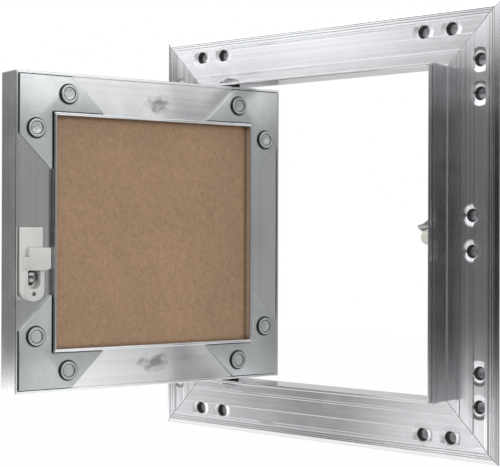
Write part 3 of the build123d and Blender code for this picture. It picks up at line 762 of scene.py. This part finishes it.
@dataclass
class Studio:
    """Plain pale floor, soft light, grey walls in the reflections, and the camera at the photograph's angle.

    Each wall band is a list of directions round the studio, in degrees, with their grey levels. The levels
    where a band gives way to the next are heights as shares of the walls' radius.
    """

    lens_mm: float = 94.81
    sensor_mm: float = 36.0
    camera_place: tuple[float, float, float] = (0.39624, -0.50140, -0.00068)
    yaw: float = 41.166
    tilt: float = 90.033
    roll: float = 0.183
    nearest: float = 0.01
    farthest: float = 50.0
    floor_level: float = -0.6
    floor_size: float = 6.0
    floor_white: float = 0.985
    wall_radius: float = 1.6
    world_light: float = 0.45
    overhead_from: Point = (0.155, 0.245)
    underfoot_from: Point = (-0.115, -0.20)
    lamps: tuple[Lamp, ...] = (
        Lamp("overhead", (0.1, -0.5, 1.3), (0.0, 0.0, 0.0), 1.6, 8.0),
        Lamp("left_fill", (-1.4, -0.9, 0.5), (0.0, 0.0, 0.0), 1.0, 11.0),
        Lamp("right_fill", (1.5, -0.2, 0.7), (-0.06, -0.06, 0.0), 1.0, 8.0),
    )
    overhead: tuple[Point, ...] = (
        (-180, 0.60), (-160, 0.90), (-140, 2.05), (-128, 2.00), (-120, 0.95), (-110, 0.95), (-90, 1.20),
        (-20, 1.40), (0, 2.00), (9, 2.00), (20, 1.75), (50, 0.40), (110, 0.50), (180, 0.60),
    )
    horizon: tuple[Point, ...] = (
        (-180, 0.17), (-165, 0.14), (-157, 0.20), (-150, 0.75), (-142, 0.75), (-134, 0.08), (-125, 0.15),
        (-114, 0.15), (-100, 0.025), (-36, 0.025), (-30, 0.35), (-23, 0.35), (-17, 0.10), (-8, 0.12),
        (0, 0.28), (26, 0.36), (50, 0.10), (80, 0.20), (100, 0.70), (148, 0.65), (160, 0.22), (180, 0.22),
    )
    underfoot: tuple[Point, ...] = (
        (-180, 2.60), (-160, 2.60), (-135, 0.90), (-128, 0.24), (-121, 1.30), (-110, 1.00), (-85, 0.50),
        (-60, 0.70), (-42, 0.30), (-15, 0.07), (0, 1.20), (9, 1.90), (20, 0.45), (50, 0.15), (90, 0.40),
        (125, 0.50), (150, 0.20), (180, 0.90),
    )

    WHITE = (1.0, 1.0, 1.0)
    MATT = (0.82, 0.82, 0.82)
    TINT = (1.0, 1.0, 1.01)

    def build(self) -> None:
        """Make the floor, the studio's walls, the lamps, the world and the camera."""
        self.floor()
        self.walls()
        self.world()
        for lamp in self.lamps:
            lamp.build()
        self.camera()

    def floor(self) -> None:
        """A wide pale floor that keeps a faint shadow."""
        mesh = bmesh.new()
        bmesh.ops.create_grid(mesh, x_segments=1, y_segments=1, size=self.floor_size)
        bmesh.ops.translate(mesh, verts=mesh.verts, vec=(0.0, 0.0, self.floor_level))
        floor = piece_from(mesh, "floor")
        recipe = Recipe(bpy.data.materials.new("pale_floor"))
        matt = recipe.node("BsdfDiffuse", {"Color": self.MATT}).outputs[0]
        glow = recipe.node("Emission", {"Color": self.WHITE, "Strength": 1.0}).outputs[0]
        share = recipe.math("MULTIPLY", self.background_rays(recipe), self.floor_white)
        mixed = recipe.node("MixShader", {0: share, 1: matt, 2: glow}).outputs[0]
        recipe.node("OutputMaterial", {"Surface": mixed})
        wear(floor, recipe.owner)

    @staticmethod
    def background_rays(recipe: Recipe) -> Socket:
        """One for camera, glossy and transmission rays, nought for the rest.

        Args:
            recipe: The material or world under construction.

        Returns:
            The socket.
        """
        path = recipe.node("LightPath").outputs
        seen = recipe.math("MAXIMUM", path["Is Camera Ray"], path["Is Glossy Ray"])
        return recipe.math("MAXIMUM", seen, path["Is Transmission Ray"])

    def walls(self) -> None:
        """Soft grey studio walls that only reflections show, brighter overhead than at eye level."""
        mesh = bmesh.new()
        bmesh.ops.create_uvsphere(mesh, u_segments=64, v_segments=32, radius=self.wall_radius)
        bmesh.ops.reverse_faces(mesh, faces=mesh.faces)
        walls = piece_from(mesh, "studio_walls")
        recipe = Recipe(bpy.data.materials.new("studio_grey"))
        part = recipe.parts(recipe.node("TexCoord").outputs["Object"])
        around = recipe.math("ARCTAN2", part["Y"], part["X"])
        turn = recipe.node("MapRange", {0: around, 1: -math.pi, 2: math.pi, 3: 0.0, 4: 1.0}).outputs[0]
        level = recipe.math("DIVIDE", part["Z"], self.wall_radius)
        high = recipe.spread(level, *self.overhead_from)
        low = recipe.spread(level, *reversed(self.underfoot_from), 1.0, 0.0)
        rings = [self.ring(recipe, turn, levels) for levels in (self.horizon, self.overhead, self.underfoot)]
        grey = recipe.blend(low, recipe.blend(high, rings[0], rings[1]), rings[2])
        glow = recipe.node("Emission", {"Color": grey, "Strength": 1.0}).outputs[0]
        recipe.node("OutputMaterial", {"Surface": glow})
        wear(walls, recipe.owner)
        walls.visible_camera = False
        walls.visible_diffuse = False
        walls.visible_shadow = False

    def ring(self, recipe: Recipe, turn: Feed, levels: tuple[Point, ...]) -> Socket:
        """A grey that changes with the direction round the studio.

        Args:
            recipe: The material under construction.
            turn: Direction as a share of a full turn from -180 degrees.
            levels: Pairs of direction in degrees and grey level.

        Returns:
            The grey's socket.
        """
        ramp = recipe.node("ValToRGB", {0: turn})
        band = ramp.color_ramp
        band.elements.remove(band.elements[0])
        for number, (degrees, level) in enumerate(levels):
            share = (degrees + 180) / 360
            element = band.elements[0] if number == 0 else band.elements.new(share)
            element.position = share
            element.color = (*(level * part for part in self.TINT), 1.0)
        return ramp.outputs[0]

    def world(self) -> None:
        """White for the camera and for reflections, soft grey light for the rest."""
        world = bpy.data.worlds.new("studio")
        bpy.context.scene.world = world
        recipe = Recipe(world)
        soft = recipe.node("Background", {"Color": self.WHITE, "Strength": self.world_light}).outputs[0]
        white = recipe.node("Background", {"Color": self.WHITE, "Strength": 1.0}).outputs[0]
        feeds = {0: self.background_rays(recipe), 1: soft, 2: white}
        recipe.node("OutputWorld", {"Surface": recipe.node("MixShader", feeds).outputs[0]})

    def camera(self) -> None:
        """The camera at the photograph's place and angle."""
        data = bpy.data.cameras.new("camera")
        data.lens = self.lens_mm
        data.sensor_width = self.sensor_mm
        data.clip_start = self.nearest
        data.clip_end = self.farthest
        camera = bpy.data.objects.new("camera", data)
        bpy.context.scene.collection.objects.link(camera)
        place = Matrix.Translation(self.camera_place)
        for axis, degrees in (("Z", self.yaw), ("X", self.tilt), ("Z", self.roll)):
            place = place @ Matrix.Rotation(math.radians(degrees), 4, axis)
        camera.matrix_world = place
        bpy.context.scene.camera = camera


def piece_from(mesh: Shell, name: str, smooth: bool = False) -> Piece:
    """Make an object at the origin from a finished bmesh.

    Args:
        mesh: The mesh, which is freed.
        name: The piece's name.
        smooth: Whether its faces are shaded smooth.

    Returns:
        The new object.
    """
    for face in mesh.faces:
        face.smooth = smooth
    data = bpy.data.meshes.new(name)
    mesh.to_mesh(data)
    mesh.free()
    made = bpy.data.objects.new(name, data)
    bpy.context.scene.collection.objects.link(made)
    return made


def arc(centre: Point, radius: float, start: float, end: float, steps: int = 6) -> list[Point]:
    """Points along an arc from one direction to another, in degrees, both ends included."""
    angles = (math.radians(start + (end - start) * number / steps) for number in range(steps + 1))
    return [(centre[0] + radius * math.cos(angle), centre[1] + radius * math.sin(angle)) for angle in angles]


def prism(outline: list[Point], low: float, high: float, rim: float = 0.0, taper: float = 1.0) -> Shell:
    """A flat piece parallel to the wall.

    Args:
        outline: Its outline as X, Z points.
        low: Its front depth.
        high: Its back depth.
        rim: Radius of the rolled edge round its back face.
        taper: Size of the front face as a share of the back face.

    Returns:
        The closed shell.
    """
    mesh = bmesh.new()
    face = mesh.faces.new([mesh.verts.new((x, high, z)) for x, z in outline])
    made = bmesh.ops.extrude_face_region(mesh, geom=[face])["geom"]
    pushed = [item for item in made if isinstance(item, bmesh.types.BMVert)]
    bmesh.ops.translate(mesh, verts=pushed, vec=(0.0, low - high, 0.0))
    bmesh.ops.scale(mesh, verts=pushed, vec=(taper, 1.0, taper))
    bmesh.ops.recalc_face_normals(mesh, faces=mesh.faces)
    if rim > 0.0:
        back = [edge for edge in mesh.edges if all(abs(vert.co.y - high) < NEAR for vert in edge.verts)]
        bmesh.ops.bevel(mesh, geom=back, offset=rim, segments=BEVEL_SEGMENTS, profile=0.5, affect="EDGES",
                        material=-1)
    return mesh


def ring_of(mesh: Shell, radius: float, height: float, steps: int) -> list[bmesh.types.BMVert]:
    """Points round the Z axis.

    Args:
        mesh: The mesh that gets them.
        radius: Their distance from the axis; nought gives one point, named for each step.
        height: Their height.
        steps: Number of steps round the axis.

    Returns:
        The points, one for each step.
    """
    if radius < APART:
        return [mesh.verts.new((0.0, 0.0, height))] * steps
    angles = [2 * math.pi * step / steps for step in range(steps)]
    return [mesh.verts.new((radius * math.cos(angle), radius * math.sin(angle), height)) for angle in angles]


def spun(profile: list[Point], place: tuple[float, float, float], axis: str = "y", steps: int = 56) -> Shell:
    """A closed solid of revolution.

    Args:
        profile: Its section as radius and height points, from the axis round to the axis.
        place: Where height nought of its axis lies.
        axis: The direction of its axis, y or z.
        steps: Number of steps round it.

    Returns:
        The closed shell.
    """
    mesh = bmesh.new()
    section = profile[:1] + [end for start, end in zip(profile, profile[1:]) if math.dist(start, end) > APART]
    rings = [ring_of(mesh, radius, height, steps) for radius, height in section]
    for upper, lower in zip(rings, rings[1:]):
        for here in range(steps):
            beyond = (here + 1) % steps
            corners = dict.fromkeys((upper[here], upper[beyond], lower[beyond], lower[here]))
            mesh.faces.new(list(corners))
    turn = {"y": Matrix.Rotation(math.radians(-90), 4, "X"), "z": Matrix.Identity(4)}[axis]
    bmesh.ops.transform(mesh, matrix=Matrix.Translation(place) @ turn, verts=mesh.verts)
    bmesh.ops.recalc_face_normals(mesh, faces=mesh.faces)
    return mesh


def joined(shells: list[Shell]) -> Shell:
    """Several closed shells in one mesh.

    Args:
        shells: The shells, which are freed.

    Returns:
        The mesh that holds them all.
    """
    whole = bmesh.new()
    for shell in shells:
        part = bpy.data.meshes.new("part")
        shell.to_mesh(part)
        shell.free()
        whole.from_mesh(part)
        bpy.data.meshes.remove(part)
    return whole


def softened(node: str, width_mm: float) -> Shell:
    """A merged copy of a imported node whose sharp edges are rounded, as a mould or a press leaves them.

    Args:
        node: The node's name.
        width_mm: Width of the rounding.

    Returns:
        The copy, at rest and in metres.
    """
    mesh = bmesh.new()
    mesh.from_mesh(frame["nodes"][node].data)
    bmesh.ops.remove_doubles(mesh, verts=mesh.verts, dist=WELD_MM * MM)
    bmesh.ops.dissolve_limit(mesh, angle_limit=math.radians(1), verts=mesh.verts, edges=mesh.edges)
    sharp = [edge for edge in mesh.edges if len(edge.link_faces) == 2 and edge.calc_face_angle() > SHARP]
    bmesh.ops.bevel(mesh, geom=sharp, offset=width_mm * MM, segments=BEVEL_SEGMENTS, profile=0.5,
                    affect="EDGES", clamp_overlap=True, material=-1)
    bmesh.ops.recalc_face_normals(mesh, faces=mesh.faces)
    return mesh


def carved(piece: Piece, cutter: Piece) -> None:
    """Cut one piece out of another, and delete the cutter.

    Args:
        piece: The piece that keeps what is left.
        cutter: The shape that is taken away.
    """
    cut = piece.modifiers.new("recess", "BOOLEAN")
    cut.operation = "DIFFERENCE"
    cut.solver = "EXACT"
    cut.object = cutter
    bpy.context.view_layer.update()
    result = bpy.data.meshes.new_from_object(piece.evaluated_get(bpy.context.evaluated_depsgraph_get()))
    piece.modifiers.clear()
    piece.data = result
    spare = cutter.data
    bpy.data.objects.remove(cutter)
    bpy.data.meshes.remove(spare)


def closed_box(node: str, swing: Swing) -> tuple[Vector, Vector]:
    """Lowest and highest corner of a node in closed coordinates.

    Args:
        node: The node's name.
        swing: The turn that took the node to where it rests.

    Returns:
        The two corners in millimetres.
    """
    back = swing.back()
    points = [back @ vert.co / MM for vert in frame["nodes"][node].data.vertices]
    return (Vector(min(point[axis] for point in points) for axis in range(3)),
            Vector(max(point[axis] for point in points) for axis in range(3)))


def settle(piece: Piece, material: bpy.types.Material, body: str, node: str) -> None:
    """Finish a new piece.

    Args:
        piece: The piece.
        material: Its material.
        body: The body that it rides on.
        node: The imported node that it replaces.
    """
    wear(piece, material)
    piece.data.set_sharp_from_angle(angle=SHARP)
    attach(piece, body)
    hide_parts(node)
    log.info("made %s for %s", piece.name, node)


def pressed(shells: list[Shell], name: str, swing: Swing) -> Piece:
    """Join shells made in closed coordinates, and take them to where the piece rests.

    Args:
        shells: The shells, in millimetres.
        name: The piece's name.
        swing: The turn of its body.

    Returns:
        The new object.
    """
    mesh = joined(shells)
    bmesh.ops.transform(mesh, matrix=swing.matrix() @ Matrix.Scale(MM, 4), verts=mesh.verts)
    return piece_from(mesh, name, smooth=True)


@dataclass(frozen=True)
class ClinchButton:
    """The raised side of a clinch joint: a round collar with a shallow middle and a drawn foot."""

    radius: float = 4.3
    height: float = 1.4
    shoulder: float = 0.45
    dimple_radius: float = 2.75
    dimple_depth: float = 0.35
    foot: float = 0.35
    sink: float = 0.3

    def shell(self, x: float, z: float, depth: float) -> Shell:
        """Make one button.

        Args:
            x: Its place across.
            z: Its place up.
            depth: The plate's back face.

        Returns:
            The closed shell.
        """
        floor = self.height - self.dimple_depth
        rise = self.dimple_depth / 2
        lip = self.dimple_radius
        profile = [(0.0, floor)]
        profile += arc((lip, floor + rise), rise, -90.0, 0.0, 3)
        profile += arc((lip + 2 * rise, self.height - rise), rise, 180.0, 90.0, 3)
        shoulder = (self.radius - self.shoulder, self.height - self.shoulder)
        profile += arc(shoulder, self.shoulder, 90.0, 0.0, 5)
        profile += arc((self.radius + self.foot, self.foot), self.foot, 180.0, 270.0, 4)
        profile += [(self.radius + self.foot, -self.sink), (0.0, -self.sink)]
        return spun(profile, (x, depth, z))


@dataclass(frozen=True)
class CornerPlate:
    """An L of zinc-plated sheet with sheared, slightly rolled edges and its clinch buttons."""

    half: float
    inset: float
    width: float
    reach: float
    joint: float
    sheet: float
    places: tuple[Point, ...]
    rolled: float = 0.22

    def outline(self) -> list[Point]:
        """The L in the lower hinge corner, its legs cut at 45 degrees.

        Returns:
            The outline as X, Z points.
        """
        low = self.inset - self.half
        far = self.reach - self.half
        tip = self.reach + self.width - self.half
        inner = low + self.width
        return [(low, low), (far, low), (tip, inner), (inner, inner), (inner, tip), (low, far)]

    def shells(self, corner: Corner) -> list[Shell]:
        """The plate and its buttons in one corner of the panel.

        Args:
            corner: Which corner.

        Returns:
            The closed shells.
        """
        back = self.joint + self.sheet
        made = [prism(self.outline(), self.joint, back, rim=self.rolled)]
        made += [ClinchButton().shell(x, z, back) for x, z in self.places]
        for shell in made:
            bmesh.ops.transform(shell, matrix=corner.turn, verts=shell.verts)
        return made


@dataclass(frozen=True)
class CrossScrew:
    """A pan-head screw with a cross recess, along Y with its head towards the back."""

    head_radius: float = 2.5
    head_height: float = 1.7
    edge: float = 0.6
    shank_radius: float = 1.25
    reach: float = 6.0
    arm: float = 1.3
    slit: float = 0.42
    depth: float = 1.15
    crown: float = 3.2
    taper: float = 0.35
    clear: float = 1.0

    def profile(self) -> list[Point]:
        """The screw's section.

        Returns:
            Its radius and height points, from the top of the head round to the tip.
        """
        crown = self.crown * self.head_radius
        top = self.head_height
        spread = math.degrees(math.asin((self.head_radius - self.edge) / crown))
        dome = arc((0.0, top - crown), crown, 90.0, 90.0 - spread, 4)
        shoulder = arc((self.head_radius - self.edge, dome[-1][1] - self.edge), self.edge, 80.0, 0.0, 5)
        shank = [(self.head_radius, 0.0), (self.shank_radius, 0.0), (self.shank_radius, -self.reach)]
        return dome + shoulder + shank + [(0.0, -self.reach)]

    def cross(self) -> list[Point]:
        """The recess's outline, a plus sign.

        Returns:
            The outline as X, Z points.
        """
        half = self.slit / 2
        arm = [(self.arm, -half), (self.arm, half), (half, half)]
        points = []
        for quarter in range(4):
            turn = Matrix.Rotation(math.radians(-90 * quarter), 4, "Y")
            points += [turned_point(turn, place) for place in arm]
        return points

    def piece(self, name: str, place: Matrix) -> Piece:
        """Make the screw.

        Args:
            name: The piece's name.
            place: Where height nought of its head lies, in metres, with Y along its axis.

        Returns:
            The new object.
        """
        screw = pressed([spun(self.profile(), (0.0, 0.0, 0.0), steps=40)], name, STILL)
        floor = self.head_height - self.depth
        cross = prism(self.cross(), floor, self.head_height + self.clear, taper=self.taper)
        cutter = pressed([cross], "cutter", STILL)
        carved(screw, cutter)
        screw.data.transform(place)
        return screw


@dataclass
class FrameAssembly:
    """The four rails round the opening and the plates behind their corners."""

    swing: Swing = STILL
    colour: Colour = (0.87, 0.88, 0.895)
    plate_colour: Colour = (0.62, 0.66, 0.67)
    first_mm: float = 24.5
    pitch_mm: float = 14.9
    line_mm: float = 9.6
    latch_line_mm: float = 13.4
    latch_pitch_mm: float = 15.9
    plate_round_mm: float = 0.15
    mitre_mm: float = 0.35

    EDGE_MM = {"x": 0.12, "z": 0.32}
    STREAK = {"x": 0.2, "z": 0.6}

    def pits(self, side: Side) -> tuple[Point, ...]:
        """Clinch pits of one rail.

        Args:
            side: Which rail.

        Returns:
            The pits in closed coordinates.
        """
        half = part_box("frame_bottom_rail")[0].z / -MM
        first = half - self.first_mm
        second = first - self.pitch_mm
        line = self.line_mm - half
        found = [turned_point(side.turn, (x, line)) for x in (-first, -second, second, first)]
        if side is Side.LATCH:
            middle = half - self.latch_line_mm
            found += [(middle, z) for z in (-self.latch_pitch_mm / 2, self.latch_pitch_mm / 2)]
        return tuple(found)

    def buttons(self, node: str) -> tuple[Point, ...]:
        """Places of the clinch buttons of one corner plate.

        Args:
            node: The plate's node.

        Returns:
            The places in closed coordinates.
        """
        low, high = closed_box(node, self.swing)
        spots = [spot for side in Side for spot in self.pits(side)]
        return tuple(spot for spot in spots if low.x < spot[0] < high.x and low.z < spot[1] < high.z)

    def build(self) -> None:
        """Dress the frame's rails and plates."""
        for side in Side:
            name = "frame_" + side.piece
            finish = Aluminium(name + "_metal", side.run, self.colour, pits=self.pits(side),
                               mitre_mm=self.mitre_mm, streak=self.STREAK[side.run],
                               edge_mm=self.EDGE_MM[side.run])
            dress(name, finish.material(self.swing))
        for corner in Corner:
            node = "frame_corner_plate_" + corner.piece
            piece = piece_from(softened(node, self.plate_round_mm), node + "_pressed", smooth=True)
            finish = ZincPlate(node + "_zinc", self.plate_colour, self.buttons(node))
            settle(piece, finish.material(self.swing), "frame", node)


@dataclass
class LeafAssembly:
    """The leaf: rails, corner plates, board, strike and its screw."""

    swing: Swing
    colour: Colour = (0.87, 0.88, 0.885)
    plate_colour: Colour = (0.61, 0.635, 0.635)
    line_mm: float = 9.5
    along_mm: float = 25.7
    plate_inset_mm: float = 1.6
    plate_width_mm: float = 16.0
    plate_reach_mm: float = 28.1
    plate_sheet_mm: float = 1.5
    strike_round_mm: float = 0.5
    askew: float = 22.0

    DARK_PATCHES = {Side.TOP: ((-2.0, 61.0),), Side.BOTTOM: ((0.0, -62.0),)}

    def build(self) -> None:
        """Dress the leaf's pieces."""
        for side in Side:
            name = "leaf_" + side.piece
            finish = Aluminium(name + "_metal", side.run, self.colour, dark_patches=self.DARK_PATCHES.get(side, ()))
            dress(name, finish.material(self.swing))
        self.corners()
        paper = BoardPaper("back_paper", shade(170, 139, 112), shade(120, 92, 70))
        dress("board_back_paper", paper.material(self.swing))
        front = BoardPaper("front_paper", shade(216, 211, 198), shade(190, 184, 170))
        dress("board_front_paper", front.material(self.swing))
        dress("board_core", Gypsum("gypsum", shade(222, 220, 214)).material(self.swing))
        strike = piece_from(softened("strike", self.strike_round_mm), "strike_moulding", smooth=True)
        white = Plastic("white_plastic", shade(217, 218, 213)).material(self.swing)
        settle(strike, white, "leaf", "strike")
        self.screw()
        bush = Plastic("bush_nylon", shade(222, 222, 216)).material(self.swing)
        for end in ("top", "bottom"):
            dress("pivot_bush_" + end, bush)

    def corners(self) -> None:
        """Make the four corner plates with their clinch buttons."""
        half = closed_box("leaf_bottom_rail", self.swing)[1].x
        joint = closed_box("leaf_corner_plate_bottom_hinge", self.swing)[0].y
        line = self.line_mm - half
        along = self.along_mm - half
        plate = CornerPlate(half, self.plate_inset_mm, self.plate_width_mm, self.plate_reach_mm, joint,
                            self.plate_sheet_mm, ((along, line), (line, along)))
        for corner in Corner:
            node = "leaf_corner_plate_" + corner.piece
            buttons = tuple(turned_point(corner.turn, place) for place in plate.places)
            finish = ZincPlate(node + "_zinc", self.plate_colour, buttons)
            piece = pressed(plate.shells(corner), node + "_detailed", self.swing)
            settle(piece, finish.material(self.swing), "leaf", node)

    def screw(self) -> None:
        """Make the screw in the strike's slot, with its cross recess a little askew."""
        low, high = closed_box("strike_screw", self.swing)
        shape = CrossScrew()
        seat = Vector(((low.x + high.x) / 2, high.y - shape.head_height, (low.z + high.z) / 2)) * MM
        turn = Matrix.Rotation(math.radians(self.askew), 4, "Y")
        place = self.swing.matrix() @ Matrix.Translation(seat) @ turn
        piece = shape.piece("strike_screw_detailed", place)
        metal = Steel("screw_zinc", (0.42, 0.44, 0.43), 0.2).material(self.swing)
        settle(piece, metal, "leaf", "strike_screw")


@dataclass
class PivotSet:
    """The pins in the frame and the washers between frame and leaf."""

    swing: Swing = STILL
    crown_mm: float = 3.4
    rim_mm: float = 0.8
    round_mm: float = 0.4
    shank_mm: float = 2.4
    lead_mm: float = 0.5

    def build(self) -> None:
        """Dress pins and washers."""
        pin = Steel("pin_steel", (0.42, 0.42, 0.43), 0.12).material(self.swing)
        washer = Plastic("washer_nylon", shade(70, 70, 72)).material(self.swing)
        for end, way in (("top", 1.0), ("bottom", -1.0)):
            self.pin(end, way, pin)
            dress("pivot_washer_" + end, washer)

    def pin(self, end: str, way: float, material: bpy.types.Material) -> None:
        """Make one pin: a domed head with a rounded rim, and a shank with a small lead at its tip.

        Args:
            end: Which end of the leaf.
            way: 1 for a head that looks up, -1 for one that looks down.
            material: The pin's material.
        """
        node = "pivot_pin_" + end
        low, high = closed_box(node, self.swing)
        length = high.z - low.z
        radius = (high.x - low.x) / 2
        rise = self.crown_mm - self.rim_mm
        dome = (radius ** 2 + rise ** 2) / (2 * rise)
        spread = math.degrees(math.asin((radius - self.round_mm) / dome))
        profile = arc((0.0, -dome), dome, 90.0, 90.0 - spread, 8)
        edge = profile[-1][1] - self.round_mm
        profile += arc((radius - self.round_mm, edge), self.round_mm, 90.0 - spread, 0.0, 5)
        profile += [(radius, -self.crown_mm), (self.shank_mm, -self.crown_mm)]
        profile += [(self.shank_mm, self.lead_mm - length), (self.shank_mm - self.lead_mm, -length)]
        profile += [(0.0, -length)]
        shell = spun(profile, (0.0, 0.0, 0.0), axis="z", steps=64)
        top = high.z if way > 0 else -low.z
        place = Matrix.Translation(((low.x + high.x) / 2, (low.y + high.y) / 2, top))
        bmesh.ops.transform(shell, matrix=Matrix.Scale(way, 4, (0.0, 0.0, 1.0)) @ place, verts=shell.verts)
        bmesh.ops.recalc_face_normals(shell, faces=shell.faces)
        piece = pressed([shell], node + "_detailed", self.swing)
        settle(piece, material, "frame", node)


@dataclass
class LatchAssembly:
    """The latch behind the frame: bracket, housing, plunger, spring, hook and pin."""

    swing: Swing = STILL
    nose_mm: float = 7.0
    round_mm: float = 2.2
    lead_mm: float = 0.3
    stem_mm: float = 2.25
    flange_mm: float = 2.49
    collar_mm: float = 1.2
    tail_mm: float = 6.5
    tail_radius_mm: float = 1.6
    hook_round_mm: float = 0.12

    def build(self) -> None:
        """Dress the latch's pieces."""
        looks = {
            "latch_bracket": ZincPlate("bracket_zinc", (0.62, 0.66, 0.67)),
            "latch_housing": Plastic("housing_plastic", shade(205, 204, 198)),
            "housing_screws": Steel("housing_screw_zinc", (0.66, 0.68, 0.67), 0.28),
            "hook_pin": Steel("hook_pin_steel", (0.6, 0.6, 0.6), 0.2),
            "latch_spring": Steel("spring_steel", (0.55, 0.55, 0.56), 0.25),
        }
        for name, finish in looks.items():
            dress(name, finish.material(self.swing))
        self.plunger()
        hook = piece_from(softened("latch_hook", self.hook_round_mm), "latch_hook_pressed", smooth=True)
        steel = Steel("hook_steel", (0.6, 0.6, 0.6), 0.25).material(self.swing)
        settle(hook, steel, "hook", "latch_hook")

    def plunger(self) -> None:
        """Make the ivory plunger: rounded nose, stem, stop collar and spring tail."""
        low, high = closed_box("latch_plunger", self.swing)
        radius = (high.x - low.x) / 2
        length = high.y - low.y
        stem = self.nose_mm
        collar = length - self.tail_mm - self.collar_mm
        profile = [(0.0, 0.0)] + arc((radius - self.round_mm, self.round_mm), self.round_mm, -90.0, 0.0, 8)
        profile += [(radius, stem - self.lead_mm), (radius - self.lead_mm, stem), (self.stem_mm, stem)]
        profile += [(self.stem_mm, collar), (self.flange_mm, collar)]
        profile += [(self.flange_mm, collar + self.collar_mm), (self.tail_radius_mm, collar + self.collar_mm)]
        profile += [(self.tail_radius_mm, length - self.lead_mm)]
        profile += [(self.tail_radius_mm - self.lead_mm, length), (0.0, length)]
        place = ((low.x + high.x) / 2, low.y, (low.z + high.z) / 2)
        piece = pressed([spun(profile, place)], "latch_plunger_moulding", self.swing)
        ivory = Plastic("ivory_plastic", shade(252, 251, 243)).material(self.swing)
        settle(piece, ivory, "plunger", "latch_plunger")


def leaf_swing() -> Swing:
    """The turn of the leaf at rest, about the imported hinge."""
    hinge = next(joint for joint in frame["joints"] if joint["name"] == "leaf_hinge")
    return Swing((hinge["pos_m"][0], hinge["pos_m"][1]), LEAF_OPEN)


def main() -> None:
    """Build the looks of every assembly in order, and the studio."""
    logging.basicConfig(level=logging.INFO, format="%(name)s: %(message)s")
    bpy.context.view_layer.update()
    bpy.context.scene.view_settings.view_transform = "Standard"
    FrameAssembly().build()
    LeafAssembly(leaf_swing()).build()
    PivotSet().build()
    LatchAssembly().build()
    Studio().build()
    bpy.context.view_layer.update()


if __name__ == "__main__":
    main()
